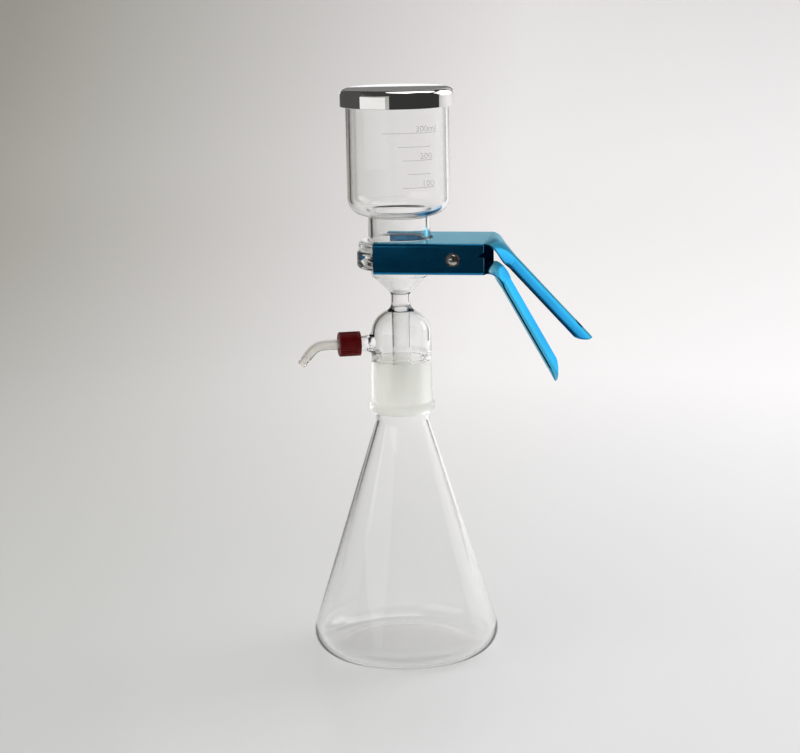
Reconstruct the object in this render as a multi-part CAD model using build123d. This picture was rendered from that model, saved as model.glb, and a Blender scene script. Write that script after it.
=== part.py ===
from build123d import *
import math
import os

# Vacuum filtration set: conical flask, filter base with frit, funnel, lid, spring clamp and hose arm.
# Millimetres. +Z is up, the origin is the centre of the flask's flat bottom, +X runs along the clamp.

# ---- conical flask -----------------------------------------------------------------------------
flask_radius = 75.4            # widest radius, at the heel
heel_radius = 16.0             # outside rounding between the bottom and the cone
cone_half_angle = 17.3         # degrees between the cone's wall and its axis
flask_wall = 2.2
flask_floor = 3.0
foot_width = 3.0               # width of the flat ring that the flask stands on
punt_height = 1.2              # the middle of the bottom is pushed up by this much
punt_slope = 10.0              # width over which the bottom rises, inside the flat ring
neck_radius = 21.6             # clear neck between the cone and the ground joint
neck_length = 9.3
neck_shoulder = 14.0           # rounding where the cone runs into the neck
neck_step = 1.0                # plain neck between the bead and the ground cone's shoulder
lip_rounding = 1.0             # fire-polished edges of the lip

# ---- ground joint 45/40 between flask and filter base --------------------------------------------
joint_diameter = 45.0          # at the wide, lower end
joint_length = 40.0
joint_taper = 0.1              # change of diameter per length
joint_gap = 0.05               # radial gap between the two ground faces
cone_wall = 2.6                # wall of the flask's ground cone
cone_lip = 2.0                 # clear fire-polished lip above the ground zone
socket_chamfer = 1.0           # widening of the socket's mouth inside the bead
socket_headroom = 2.0          # from the lip to the step inside the socket
socket_step = 3.0              # height of that step up to the hood's bore

# ---- filter base: hood, drip tube, support head, side arm ----------------------------------------
bead_radius = 26.4
bead_height = 9.5
bead_drop = 2.0                # the bead reaches this far below the wide end of the joint
bead_curve = 2.5               # how far the bead's round outside stands out from its flat ends
bead_run_out = 1.0             # height over which the bead runs into the socket
socket_radius = 24.5           # outside of the socket above the bead
hood_radius = 24.1             # outside of the hood where the dome starts
hood_height = 61.45            # from the joint's wide end to the start of the dome
hood_wall = 2.4
dome_arc = 21.0                # radius of the dome's outline
collar_radius = 10.5           # ring seal on top of the dome
collar_height = 1.9
collar_taper = 2.0             # the ring seal narrows by this much in radius
stem_radius = 7.8
stem_bore = 6.3
stem_length = 11.5
drip_radius = 7.4
drip_end = 12.0                # the drip tube ends this far above the joint's wide end
bowl_radius = 23.4
bowl_wall = 2.6
bowl_height = 21.4             # from the stem to the underside of the flange
bowl_rise = 15.5               # rise of the bowl's conical bottom
bowl_rounding = 8.0
stem_rounding = 3.0            # stem into the bowl, inside and outside
bowl_fillet = 1.5              # bowl into the flange, inside and outside
base_flange_radius = 34.1
base_flange_height = 14.0
flange_rounding = 2.8
frit_radius = 20.6
frit_thickness = 4.5
frit_ledge = 2.0               # width and thickness of the ledge that carries the frit
ledge_slope = 2.0              # height over which the ledge runs into the bowl's wall
membrane_radius = 23.5
membrane_thickness = 0.2

# ---- funnel and lid ------------------------------------------------------------------------------
flange_step = 1.5              # the funnel's flange is this much narrower than the base's
funnel_flange_height = 7.6
funnel_neck_radius = 24.7
funnel_neck_bore = 21.4
funnel_neck_length = 20.1
funnel_radius = 40.75
funnel_wall = 2.85
funnel_height = 98.9           # from the underside of the cup to the rim
funnel_rounding = 14.0
neck_fillet = 2.0
fillet_room = 0.95             # share of the flange's half face that a rounding may take
neck_mouth = 4.0               # rounding where the cup runs into the neck's bore
face_rounding = 1.2            # outer edge of the funnel's sealing face
rim_rounding = 0.9
lid_radius = 45.2
lid_sheet = 0.8
lid_height = 14.0
lid_rounding = 5.0
lid_edge = 0.3                 # rounding of the sheet's cut edge
lid_gap = 0.2                  # between the funnel's rim and the inside of the lid

# ---- spring clamp --------------------------------------------------------------------------------
sheet = 1.2                    # aluminium sheet of both levers
bend_radius = 2.6              # outside radius of the folds
jaw_gap = 0.3                  # between a jaw and the flange face it grips
side_gap = 0.4                 # between the inner walls and the wider flange
wall_gap = 0.15                # between the walls of the two levers
slot_gap = 2.2                 # between a jaw's slot and the glass that passes through it
pivot_x = 47.3
jaw_front = -15.8              # x of the ends of the jaws
lever_rear = 71.4              # x where the plates turn into the handles
ear_radius = 8.5
ear_angle = 45.0               # where the ear's arc meets the wall's straight edges, from straight down
pin_radius = 2.0
pin_gap = 0.05
head_radius = 4.1
head_height = 2.0
washer_radius = 5.6
washer_thickness = 0.6
washer_gap = 0.1

# walls of a lever, as heights above (+) or below (-) the pivot on the plate's side
upper_wall_front = -6.7        # lower corner of the wall at the jaw's end
upper_wall_waist = 0.6         # the wall's edge in front of the pivot ear
upper_wall_rear = 5.8          # lower corner of the wall at the rear
lower_wall_front = -6.7
lower_wall_waist = 0.6
lower_wall_rear = -1.4
waist_x = 29.0

# handles: a bend behind the plate, then a straight arched grip with a rounded end
grip_end = 16.0                # length of the rounded end
grip_run_in = 14.0             # from the bend to the full arched section
arch_half_bend = 0.25          # share of the arch reached half way round the bend
arch_full_bend = 0.6           # share of the arch reached at the end of the bend
upper_bend = 18.0
upper_angle = 47.0
upper_grip = 100.5
upper_grip_half_width = 17.5
upper_grip_depth = 6.5         # sagitta of the arched section
lower_bend = 3.5
lower_angle = 60.5
lower_grip = 101.0
lower_grip_half_width = 23.0
lower_grip_depth = 4.5
hang_hole_radius = 4.2
hang_hole_inset = 15.0         # hole centre to the tip of the upper handle

# torsion spring on the pivot pin
wire_radius = 0.8
coil_radius = 4.2
coil_turns = 7                 # whole turns, before the part turn between the two legs
coil_pitch = 2.6
leg_angle = 17.0               # each leg's slope towards its plate
leg_gap = 0.3                  # between the end of a leg and its plate

# ---- side arm with GL14 screw cap and hose connector ---------------------------------------------
arm_angle = 200.0              # direction of the side arm, from +X
arm_above_joint = 55.2         # height of its axis above the joint's wide end
arm_rim = 44.8                 # distance of its end from the vessel's axis
arm_radius = 6.2
arm_bore = 4.8
arm_flare = 4.0                # widening of the root where it meets the hood
arm_root_depth = 3.0           # the root starts this far inside the hood's outside
arm_root_rounding = 2.5
arm_rim_rounding = 0.5
thread_radius = 7.0
thread_pitch = 2.5
thread_count = 4
thread_start = 2.2             # from the arm's rim to the middle of the first ridge
thread_root = 0.3              # each ridge reaches this far into the tube's wall
thread_foot = 0.36             # half width of a ridge at its root, as a share of the pitch
thread_crest = 0.4             # width of its crest, as a share of the root's width
thread_rounding = 0.3
seal_radius = 6.6
seal_bore = 3.4
seal_thickness = 2.0
cap_radius = 9.85
cap_length = 17.0
cap_wall_gap = 0.25            # between the cap's bore and the thread's crest
cap_top = 2.0
cap_lip = 2.6                  # smooth band at the open end
rib_count = 36
rib_depth = 0.5
cap_edge = 0.6                 # the ribs end this far below the closed end
cap_clearance = 0.1            # between the cap and the connector's foot
foot_disc_radius = 6.0
foot_disc_thickness = 2.0
hose_radius = 4.0              # outside of the connector's tube
hose_bore = 2.4
hose_aperture_gap = 0.3
hose_straight = 11.8           # from the cap to the bend
hose_bend = 14.0
hose_turn = 50.0               # degrees that the tail points down
hose_land = 5.0                # plain length before the barbs
barb_count = 3
barb_pitch = 2.3
barb_radius = 3.9
barb_root = 3.2
barb_rise = 0.5                # length of each barb's steep side
barb_share = 0.85              # length of a barb from its root to the next one, as a share of the pitch
tip_radius = 2.9
tip_length = 0.8

# ---- heights that follow from the sizes above ------------------------------------------------------
foot_radius = flask_radius - heel_radius - foot_width
punt_radius = foot_radius - punt_slope
funnel_flange_radius = base_flange_radius - flange_step
slope = math.tan(math.radians(cone_half_angle))
heel_tangent_r = flask_radius - heel_radius + heel_radius * math.cos(math.radians(cone_half_angle))
heel_tangent_z = heel_radius + heel_radius * math.sin(math.radians(cone_half_angle))
cone_top_z = heel_tangent_z + (heel_tangent_r - neck_radius) / slope
joint_z = cone_top_z + neck_length
joint_top_z = joint_z + joint_length
joint_wide = joint_diameter / 2
joint_narrow = joint_wide - joint_length * joint_taper / 2
dome_z = joint_z + hood_height
dome_rise = math.sqrt(dome_arc**2 - (dome_arc - hood_radius + collar_radius)**2)
collar_z = dome_z + dome_rise
stem_z = collar_z + collar_height
bowl_z = stem_z + stem_length
flange_z = bowl_z + bowl_height
face_z = flange_z + base_flange_height
funnel_z = face_z + membrane_thickness
funnel_flange_top = funnel_z + funnel_flange_height
cup_z = funnel_flange_top + funnel_neck_length
rim_z = cup_z + funnel_height
lid_top_z = rim_z + lid_gap + lid_sheet
arm_z = joint_z + arm_above_joint

upper_plate_z = funnel_flange_top + jaw_gap + sheet
lower_plate_z = flange_z - jaw_gap - sheet
pivot_z = (upper_plate_z + lower_plate_z) / 2
plate_height = upper_plate_z - pivot_z
lower_half_width = base_flange_radius + side_gap + sheet
upper_half_width = lower_half_width + wall_gap + sheet
seal_start = arm_rim
foot_start = seal_start + seal_thickness
cap_inside = foot_start + foot_disc_thickness + cap_clearance
cap_end = cap_inside + cap_top


def turned(outline):
    """Solid turned about Z from (radius, height, rounding) corners."""
    corners = [(r, z) for r, z, _ in outline]
    face = make_face(Polyline(*corners, close=True))
    for r, z, rounding in outline:
        if rounding > 0:
            corner = face.vertices().sort_by_distance((r, z, 0))[0]
            face = fillet(corner, rounding)
    return revolve(Plane.XZ * face, Axis.Z)


def column(radius, low, high):
    """Plain cylinder about Z between two heights."""
    return Pos(0, 0, (low + high) / 2) * Cylinder(radius, high - low)


def flask():
    inner_heel = heel_radius - flask_wall
    lip_z = joint_top_z + cone_lip
    inner_corner_r = heel_corner_r(flask_floor)
    outline = [
        (0, punt_height, 0),
        (punt_radius, punt_height, 0),
        (foot_radius, 0, 0),
        (heel_corner_r(0), 0, heel_radius),
        (neck_radius, cone_top_z, neck_shoulder),
        (neck_radius, joint_z - bead_drop - neck_step, 0),
        (joint_wide, joint_z, 0),
        (joint_narrow, joint_top_z, 0),
        (joint_narrow, lip_z, lip_rounding),
        (joint_narrow - cone_wall, lip_z, lip_rounding),
        (neck_radius - cone_wall, joint_z - bead_drop, 0),
        (neck_radius - cone_wall, cone_top_z, neck_shoulder),
        (inner_corner_r - flask_wall / math.cos(math.radians(cone_half_angle)), flask_floor, inner_heel),
        (foot_radius, flask_floor, 0),
        (punt_radius, flask_floor + punt_height, 0),
        (0, flask_floor + punt_height, 0),
    ]
    return turned(outline)


def heel_corner_r(z):
    """Radius of the straight outer cone line carried down to height z."""
    return heel_tangent_r + (heel_tangent_z - z) * slope


def dome_outline(radius, arc_radius, low_z, end_r):
    """Dome arc with a vertical tangent at low_z, and the height where it reaches end_r."""
    centre_r = radius - arc_radius
    end_angle = math.acos((end_r - centre_r) / arc_radius)
    arc = CenterArc((centre_r, low_z), arc_radius, 0, math.degrees(end_angle))
    return arc, low_z + arc_radius * math.sin(end_angle)


def hood_outside():
    """Outside of socket and dome, from the top of the bead to the foot of the ring seal."""
    start_z = joint_z - bead_drop + bead_height + bead_run_out
    dome, end_z = dome_outline(hood_radius, dome_arc, dome_z, collar_radius)
    return [Line((socket_radius, start_z), (hood_radius, dome_z)), dome], start_z, end_z


def hood_shell():
    """Socket, hood and ring seal in one outline, without the hole for the side arm."""
    foot_z = joint_z - bead_drop
    bead_top_z = foot_z + bead_height
    outside, outside_z, outer_end_z = hood_outside()
    inner_dome, inner_end_z = dome_outline(hood_radius - hood_wall, dome_arc - hood_wall, dome_z, drip_radius)
    socket_wide = joint_wide + joint_gap
    socket_narrow = joint_narrow + joint_gap
    throat_z = joint_top_z + cone_lip + socket_headroom
    hood_bore = hood_radius - hood_wall
    mouth = socket_wide + socket_chamfer
    bead_end = bead_radius - bead_curve
    collar_top = collar_radius - collar_taper
    lines = [
        Line((mouth, foot_z), (bead_end, foot_z)),
        ThreePointArc((bead_end, foot_z), (bead_radius, foot_z + bead_height / 2), (bead_end, bead_top_z)),
        Line((bead_end, bead_top_z), (socket_radius, outside_z)),
        *outside,
        Line((collar_radius, outer_end_z), (collar_top, stem_z)),
        Line((collar_top, stem_z), (stem_bore, stem_z)),
        Line((stem_bore, stem_z), (stem_bore, inner_end_z)),
        Line((stem_bore, inner_end_z), (drip_radius, inner_end_z)),
        inner_dome,
        Line((hood_bore, dome_z), (hood_bore, throat_z + socket_step)),
        Line((hood_bore, throat_z + socket_step), (socket_narrow, throat_z)),
        Line((socket_narrow, throat_z), (socket_narrow, joint_top_z)),
        Line((socket_narrow, joint_top_z), (socket_wide, joint_z)),
        Line((socket_wide, joint_z), (mouth, foot_z)),
    ]
    return revolve(Plane.XZ * make_face(lines), Axis.Z), inner_end_z


def along_arm(solid):
    """Move a solid made along +Z from the vessel's axis onto the side arm's axis."""
    return Pos(0, 0, arm_z) * Rot(0, 0, arm_angle) * Rot(0, 90, 0) * solid


def hood():
    shell, _ = hood_shell()
    return shell - along_arm(column(arm_bore, 0, arm_rim))


def drip_tube():
    _, top_z = hood_shell()
    low_z = joint_z + drip_end
    return column(drip_radius, low_z, top_z) - column(stem_bore, low_z, top_z)


def support_head():
    frit_z = face_z - frit_thickness
    ledge_z = frit_z - frit_ledge
    inner_radius = bowl_radius - bowl_wall
    bowl_slope = bowl_rise / (bowl_radius - stem_radius)
    inner_floor = bowl_z + bowl_wall * math.hypot(1, bowl_slope) - bowl_slope * (stem_radius - stem_bore)
    inner_rise = bowl_slope * (inner_radius - stem_bore)
    outline = [
        (stem_bore, stem_z, 0),
        (stem_radius, stem_z, 0),
        (stem_radius, bowl_z, stem_rounding),
        (bowl_radius, bowl_z + bowl_rise, bowl_rounding),
        (bowl_radius, flange_z, bowl_fillet),
        (base_flange_radius, flange_z, flange_rounding),
        (base_flange_radius, face_z, flange_rounding),
        (frit_radius, face_z, 0),
        (frit_radius, frit_z, 0),
        (frit_radius - frit_ledge, frit_z, 0),
        (frit_radius - frit_ledge, ledge_z, 0),
        (inner_radius, ledge_z - ledge_slope, bowl_fillet),
        (inner_radius, inner_floor + inner_rise, bowl_rounding - bowl_wall),
        (stem_bore, inner_floor, stem_rounding),
    ]
    return turned(outline)


def frit_disc():
    return column(frit_radius, face_z - frit_thickness, face_z)


def membrane_filter():
    return column(membrane_radius, face_z, funnel_z)


def side_arm():
    flare_start = hood_radius - arm_root_depth
    outline = [
        (arm_bore, flare_start, 0),
        (arm_radius + arm_flare, flare_start, 0),
        (arm_radius, hood_radius + arm_flare, arm_root_rounding),
        (arm_radius, arm_rim, arm_rim_rounding),
        (arm_bore, arm_rim, arm_rim_rounding),
    ]
    tube = turned(outline)
    first_ridge = arm_rim - thread_start
    for i in range(thread_count):
        tube += Pos(0, 0, first_ridge - i * thread_pitch) * thread_ridge()
    return along_arm(tube) - hood_envelope()


def thread_ridge():
    """One rounded ridge of the arm's thread."""
    root = arm_radius - thread_root
    half = thread_pitch * thread_foot
    half_crest = half * thread_crest
    outline = [
        (root, -half, 0),
        (thread_radius, -half_crest, thread_rounding),
        (thread_radius, half_crest, thread_rounding),
        (root, half, 0),
    ]
    return turned(outline)


def hood_envelope():
    """The hood's outside as one filled solid, for trimming what is sealed onto it."""
    outside, start_z, end_z = hood_outside()
    lines = [
        Line((0, start_z), (socket_radius, start_z)),
        *outside,
        Line((collar_radius, end_z), (0, end_z)),
        Line((0, end_z), (0, start_z)),
    ]
    return revolve(Plane.XZ * make_face(lines), Axis.Z)


def funnel():
    inner_radius = funnel_radius - funnel_wall
    half_land = (funnel_flange_radius - funnel_neck_radius) / 2
    outline = [
        (funnel_neck_bore, funnel_z, 0),
        (funnel_flange_radius, funnel_z, face_rounding),
        (funnel_flange_radius, funnel_flange_top, min(flange_rounding, fillet_room * half_land)),
        (funnel_neck_radius, funnel_flange_top, min(neck_fillet, fillet_room * half_land)),
        (funnel_neck_radius, cup_z, neck_fillet),
        (funnel_radius, cup_z, funnel_rounding),
        (funnel_radius, rim_z, rim_rounding),
        (inner_radius, rim_z, rim_rounding),
        (inner_radius, cup_z + funnel_wall, funnel_rounding - funnel_wall),
        (funnel_neck_bore, cup_z + funnel_wall, neck_mouth),
    ]
    return turned(outline)


def lid():
    low_z = lid_top_z - lid_height
    outline = [
        (0, lid_top_z, 0),
        (lid_radius, lid_top_z, lid_rounding),
        (lid_radius, low_z, lid_edge),
        (lid_radius - lid_sheet, low_z, lid_edge),
        (lid_radius - lid_sheet, lid_top_z - lid_sheet, lid_rounding - lid_sheet),
        (0, lid_top_z - lid_sheet, 0),
    ]
    return turned(outline)


def lever_channel(half_width, wall_front, wall_waist, wall_rear, slot_radius):
    """Plate with two folded walls and a slot for the glass; the pivot is the origin, plate on top."""
    front = jaw_front - pivot_x
    rear = lever_rear - pivot_x
    waist = waist_x - pivot_x
    depth = 4 * plate_height
    middle = plate_height - depth / 2
    section = Pos(0, middle) * RectangleRounded(2 * half_width, depth, bend_radius)
    hollow = Pos(0, middle - sheet) * RectangleRounded(2 * (half_width - sheet), depth, bend_radius - sheet)
    channel = Pos(front, 0, 0) * extrude(Plane.YZ * (section - hollow), rear - front)
    ear_x = ear_radius * math.sin(math.radians(ear_angle))
    ear_z = -ear_radius * math.cos(math.radians(ear_angle))
    lines = Polyline(
        (front, plate_height),
        (front, wall_front),
        (waist, wall_waist),
        (-ear_x, ear_z),
    )
    ear = ThreePointArc((-ear_x, ear_z), (0, -ear_radius), (ear_x, ear_z))
    back = Polyline(
        (ear_x, ear_z),
        (rear, wall_rear),
        (rear, plate_height),
        (front, plate_height),
    )
    outline = extrude(Plane.XZ * make_face([lines, ear, back]), half_width, both=True)
    channel = channel & outline
    slot_tool = Cylinder(slot_radius, 3 * sheet)
    slot_tool += Pos(-pivot_x, 0, 0) * Box(2 * pivot_x, 2 * slot_radius, 3 * sheet)
    channel -= Pos(-pivot_x, 0, plate_height - sheet / 2) * slot_tool
    bore = Rot(90, 0, 0) * Cylinder(pin_radius + pin_gap, 4 * half_width)
    return channel - bore


def grip_section(place, half_width, depth):
    """Cross-section of the handle: flat or arched sheet with its crown at the plane's origin."""
    if depth == 0:
        face = Pos(0, -sheet / 2) * Rectangle(2 * half_width, sheet)
        return place * face
    radius = (half_width**2 + depth**2) / (2 * depth)
    reach = math.degrees(math.asin(half_width / radius))
    outer = CenterArc((0, -radius), radius, 90 - reach, 2 * reach)
    inner = CenterArc((0, -radius), radius - sheet, 90 - reach, 2 * reach)
    sides = [Line(outer @ 0, inner @ 0), Line(outer @ 1, inner @ 1)]
    return place * make_face([outer, inner] + sides)


def grip_plane(x, z, angle):
    """Plane across the handle: local x is +Y, local y points out of the crown."""
    direction = (math.cos(math.radians(angle)), 0, -math.sin(math.radians(angle)))
    return Plane(origin=(x, 0, z), x_dir=(0, 1, 0), z_dir=direction)


def handle(root_half_width, half_width, depth, bend, angle, length, hole):
    """Bent and arched handle that starts at the plate's rear edge; a negative angle bends outwards."""
    rear = lever_rear - pivot_x
    turn = math.radians(angle)
    sign = 1 if angle > 0 else -1
    bend_x = rear + bend * abs(math.sin(turn))
    bend_z = plate_height - sign * bend * (1 - math.cos(turn))
    half = math.radians(angle / 2)
    half_x = rear + bend * abs(math.sin(half))
    half_z = plate_height - sign * bend * (1 - math.cos(half))
    mid_width = (root_half_width + half_width) / 2
    half_bend_width = (root_half_width + mid_width) / 2
    half_bend_depth = depth * arch_half_bend

    def on_grip(distance):
        return (bend_x + distance * math.cos(turn), bend_z - distance * math.sin(turn))

    arch_start = on_grip(grip_run_in)
    tip = on_grip(length)
    sections = [
        grip_section(grip_plane(rear, plate_height, 0), root_half_width, 0),
        grip_section(grip_plane(half_x, half_z, angle / 2), half_bend_width, half_bend_depth),
        grip_section(grip_plane(bend_x, bend_z, angle), mid_width, depth * arch_full_bend),
        grip_section(grip_plane(*arch_start, angle), half_width, depth),
    ]
    grip = loft(sections) + extrude(sections[-1], length - grip_run_in)
    across = grip_plane(*tip, angle)
    plan = Plane(origin=across.origin, x_dir=across.z_dir, z_dir=across.y_dir)
    keep = Pos(-grip_end, 0) * Ellipse(grip_end, half_width)
    keep += Pos(-grip_end - length, 0) * Rectangle(2 * length, 4 * half_width)
    grip = grip & extrude(plan * keep, 3 * length, both=True)
    if hole:
        grip -= extrude(plan * Pos(-hang_hole_inset, 0) * Circle(hang_hole_radius), depth, both=True)
    return grip


def upper_lever():
    channel = lever_channel(upper_half_width, upper_wall_front, upper_wall_waist, upper_wall_rear,
                            funnel_neck_radius + slot_gap)
    lever = channel + handle(upper_half_width - bend_radius, upper_grip_half_width, upper_grip_depth,
                             upper_bend, upper_angle, upper_grip, True)
    return Pos(pivot_x, 0, pivot_z) * lever


def lower_lever():
    channel = lever_channel(lower_half_width, lower_wall_front, lower_wall_waist, lower_wall_rear,
                            bowl_radius + slot_gap)
    lever = channel + handle(lower_half_width - bend_radius, lower_grip_half_width, lower_grip_depth,
                             lower_bend, -lower_angle, lower_grip, False)
    return Pos(pivot_x, 0, pivot_z) * mirror(lever, Plane.XY)


def pivot_pin():
    """Rivet through both levers, with a domed head at each end."""
    head_start = upper_half_width + 2 * washer_gap + washer_thickness
    pin = Cylinder(pin_radius, 2 * head_start)
    dome_radius = (head_radius**2 + head_height**2) / (2 * head_height)
    cap = Pos(0, 0, head_start + head_height - dome_radius) * Sphere(dome_radius)
    cap = cap & column(head_radius, head_start, head_start + 2 * head_height)
    pin += cap
    pin += mirror(cap, Plane.XY)
    return Pos(pivot_x, 0, pivot_z) * Rot(90, 0, 0) * pin


def pivot_washers():
    centre = upper_half_width + washer_gap + washer_thickness / 2
    washer = Cylinder(washer_radius, washer_thickness) - Cylinder(pin_radius + pin_gap, washer_thickness)
    pair = [Pos(pivot_x, side * centre, pivot_z) * Rot(90, 0, 0) * washer for side in (-1, 1)]
    return Compound(children=pair)


def torsion_spring():
    """Coil around the pin with one leg under each plate, behind the pivot."""
    first = 90 + leg_angle
    turns = coil_turns + (180 - 2 * leg_angle) / 360
    height = turns * coil_pitch
    coil = Rot(0, 0, first) * Helix(coil_pitch, height, coil_radius)
    start = Plane(origin=coil @ 0, z_dir=coil % 0)
    end = Plane(origin=coil @ 1, z_dir=coil % 1)
    slant = math.radians(leg_angle)
    reach = plate_height - sheet - leg_gap - wire_radius / math.cos(slant)
    leg_length = (reach - coil_radius * math.cos(slant)) / math.sin(slant)
    spring = sweep(start * Circle(wire_radius), coil, is_frenet=True)
    spring += extrude(start * Circle(wire_radius), -leg_length)
    spring += extrude(end * Circle(wire_radius), leg_length)
    return Pos(pivot_x, 0, pivot_z) * Rot(90, 0, 0) * Pos(0, 0, -height / 2) * spring


def screw_cap():
    start = cap_end - cap_length
    bore = thread_radius + cap_wall_gap
    body = column(cap_radius - rib_depth, start, cap_end)
    body += column(cap_radius, start, start + cap_lip)
    ribbed = Circle(cap_radius - rib_depth)
    rib_width = math.pi * cap_radius / rib_count
    rib = Pos(cap_radius - rib_depth, 0) * Rectangle(2 * rib_depth, rib_width)
    for i in range(rib_count):
        ribbed += Rot(0, 0, i * 360 / rib_count) * rib
    body += Pos(0, 0, start + cap_lip) * extrude(ribbed, cap_length - cap_lip - cap_edge)
    body -= column(bore, start, cap_inside)
    body -= column(hose_radius + hose_aperture_gap, cap_inside, cap_end)
    return along_arm(body)


def seal_ring():
    return along_arm(column(seal_radius, seal_start, foot_start) - column(seal_bore, seal_start, foot_start))


def hose_path():
    """Centre line of the connector in the arm's vertical plane: x out along the arm, y up."""
    bend_start = cap_end + hose_straight
    turn = math.radians(hose_turn)
    bend_x = bend_start + hose_bend * math.sin(turn)
    bend_y = -hose_bend * (1 - math.cos(turn))
    land_x = bend_x + hose_land * math.cos(turn)
    land_y = bend_y - hose_land * math.sin(turn)
    first = Line((foot_start, 0), (bend_start, 0))
    bend = CenterArc((bend_start, -hose_bend), hose_bend, 90, -hose_turn)
    last = Line((bend_x, bend_y), (land_x, land_y))
    return first, bend, last


def hose_connector():
    first, bend, last = hose_path()
    path = Wire([first, bend, last])
    start = Plane(origin=(foot_start, 0, 0), x_dir=(0, 1, 0), z_dir=(1, 0, 0))
    body = sweep(start * Circle(hose_radius), path)
    disc = Rot(0, 90, 0) * column(foot_disc_radius, foot_start, foot_start + foot_disc_thickness)
    tail = [(0, 0, 0), (barb_root, 0, 0)]
    for i in range(barb_count):
        tail.append((barb_radius, barb_rise + i * barb_pitch, 0))
        tail.append((barb_root, barb_rise + (i + barb_share) * barb_pitch, 0))
    tail_length = barb_rise + barb_count * barb_pitch + tip_length
    tail.append((tip_radius, tail_length, 0))
    tail.append((0, tail_length, 0))
    tail_plane = Plane(origin=last @ 1, z_dir=last % 1)
    body += disc
    body += tail_plane * turned(tail)
    body -= sweep(start * Circle(hose_bore), path)
    body -= tail_plane * column(hose_bore, -barb_rise, tail_length)
    upright = Pos(0, 0, arm_z) * Rot(0, 0, arm_angle) * Rot(90, 0, 0)
    return upright * body


def main():
    os.makedirs("parts", exist_ok=True)
    nodes = {
        "flask": flask(),
        "hood": hood(),
        "drip_tube": drip_tube(),
        "support_head": support_head(),
        "frit_disc": frit_disc(),
        "membrane_filter": membrane_filter(),
        "side_arm": side_arm(),
        "funnel": funnel(),
        "lid": lid(),
        "upper_lever": upper_lever(),
        "lower_lever": lower_lever(),
        "pivot_pin": pivot_pin(),
        "pivot_washers": pivot_washers(),
        "torsion_spring": torsion_spring(),
        "screw_cap": screw_cap(),
        "seal_ring": seal_ring(),
        "hose_connector": hose_connector(),
    }
    for name, solid in nodes.items():
        export_step(solid, f"parts/{name}.step")


main()
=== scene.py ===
import math

import bmesh
import bpy
from mathutils import Matrix, Vector


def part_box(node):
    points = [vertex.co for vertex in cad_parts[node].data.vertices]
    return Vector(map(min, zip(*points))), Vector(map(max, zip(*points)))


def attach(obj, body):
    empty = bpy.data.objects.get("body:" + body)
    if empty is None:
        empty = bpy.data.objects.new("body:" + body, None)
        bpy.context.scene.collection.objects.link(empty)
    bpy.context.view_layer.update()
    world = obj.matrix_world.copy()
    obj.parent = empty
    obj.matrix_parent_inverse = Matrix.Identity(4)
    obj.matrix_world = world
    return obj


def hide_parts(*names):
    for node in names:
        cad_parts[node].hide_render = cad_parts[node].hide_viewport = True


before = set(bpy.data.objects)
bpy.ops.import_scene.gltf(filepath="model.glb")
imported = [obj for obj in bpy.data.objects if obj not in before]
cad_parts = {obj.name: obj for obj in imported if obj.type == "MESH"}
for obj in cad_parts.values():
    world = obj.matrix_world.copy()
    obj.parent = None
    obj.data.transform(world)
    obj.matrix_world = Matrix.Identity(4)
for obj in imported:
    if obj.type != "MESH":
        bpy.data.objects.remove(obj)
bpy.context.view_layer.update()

# The CAD gives every place and outer size. Sizes are in millimetres, as in the part's source, and
# angles in degrees, unless a line says otherwise.
MM = 0.001
SEGMENTS = 160                 # round a turned piece
ARM_SEGMENTS = 64
STAGE_SEGMENTS = 96
ARC_STEP = 6.0                 # per step in a rounded corner
DOME_STEPS = 16
STRIP_STEPS = 24               # along a graduation line or a card
SHARP_ANGLE = 32.0             # edges bent further than this are shaded as sharp
STRIP_SHARP_ANGLE = 40.0
STAGE_SHARP_ANGLE = 60.0

# ---- camera and stage ----------------------------------------------------------------------------
CAMERA_DISTANCE = 1676.4       # level distance from the vessel's axis
CAMERA_HEIGHT = 573.5
CAMERA_YAW = 9.0               # towards the clamp's handles, from straight in front
CAMERA_PITCH = 11.69           # down
CAMERA_ROLL = -1.06
CAMERA_SIDE = -1.6             # moved across, so that the set stands a little further right in the view
CAMERA_LENS = 95.56
SENSOR_WIDTH = 36.0
FLOOR_DROP = 0.2               # the floor lies this far below the flask's foot ring
SWEEP_RADIUS = 2600.0
SWEEP_CURVE = 1500.0
SWEEP_HEIGHT = 1700.0
SWEEP_SKIN = 1.0
# Painted light: the sweep glows this strongly in its own painted shades, though it is no lamp.
SWEEP_PAINTED_GLOW = 0.3
SWEEP_BLEND = (0.1, 1.6)       # the near shades run into the far ones between these, along Y in metres
# Painted light and shade on the sweep: its colour runs darker to the left and brighter to the right and
# behind, standing in for the fall of the studio's light.
NEAR_PAINTED_SHADES = [                # place along X in metres, and the shade there
    (-1.6, (0.30, 0.30, 0.29)),
    (-0.3, (0.60, 0.60, 0.585)),
    (0.3, (0.76, 0.76, 0.77)),
    (1.6, (0.60, 0.60, 0.60)),
]
FAR_PAINTED_SHADES = [
    (-1.6, (0.10, 0.10, 0.09)),
    (-0.95, (0.35, 0.34, 0.30)),
    (-0.1, (0.88, 0.86, 0.86)),
    (1.6, (0.85, 0.84, 0.85)),
]

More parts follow.
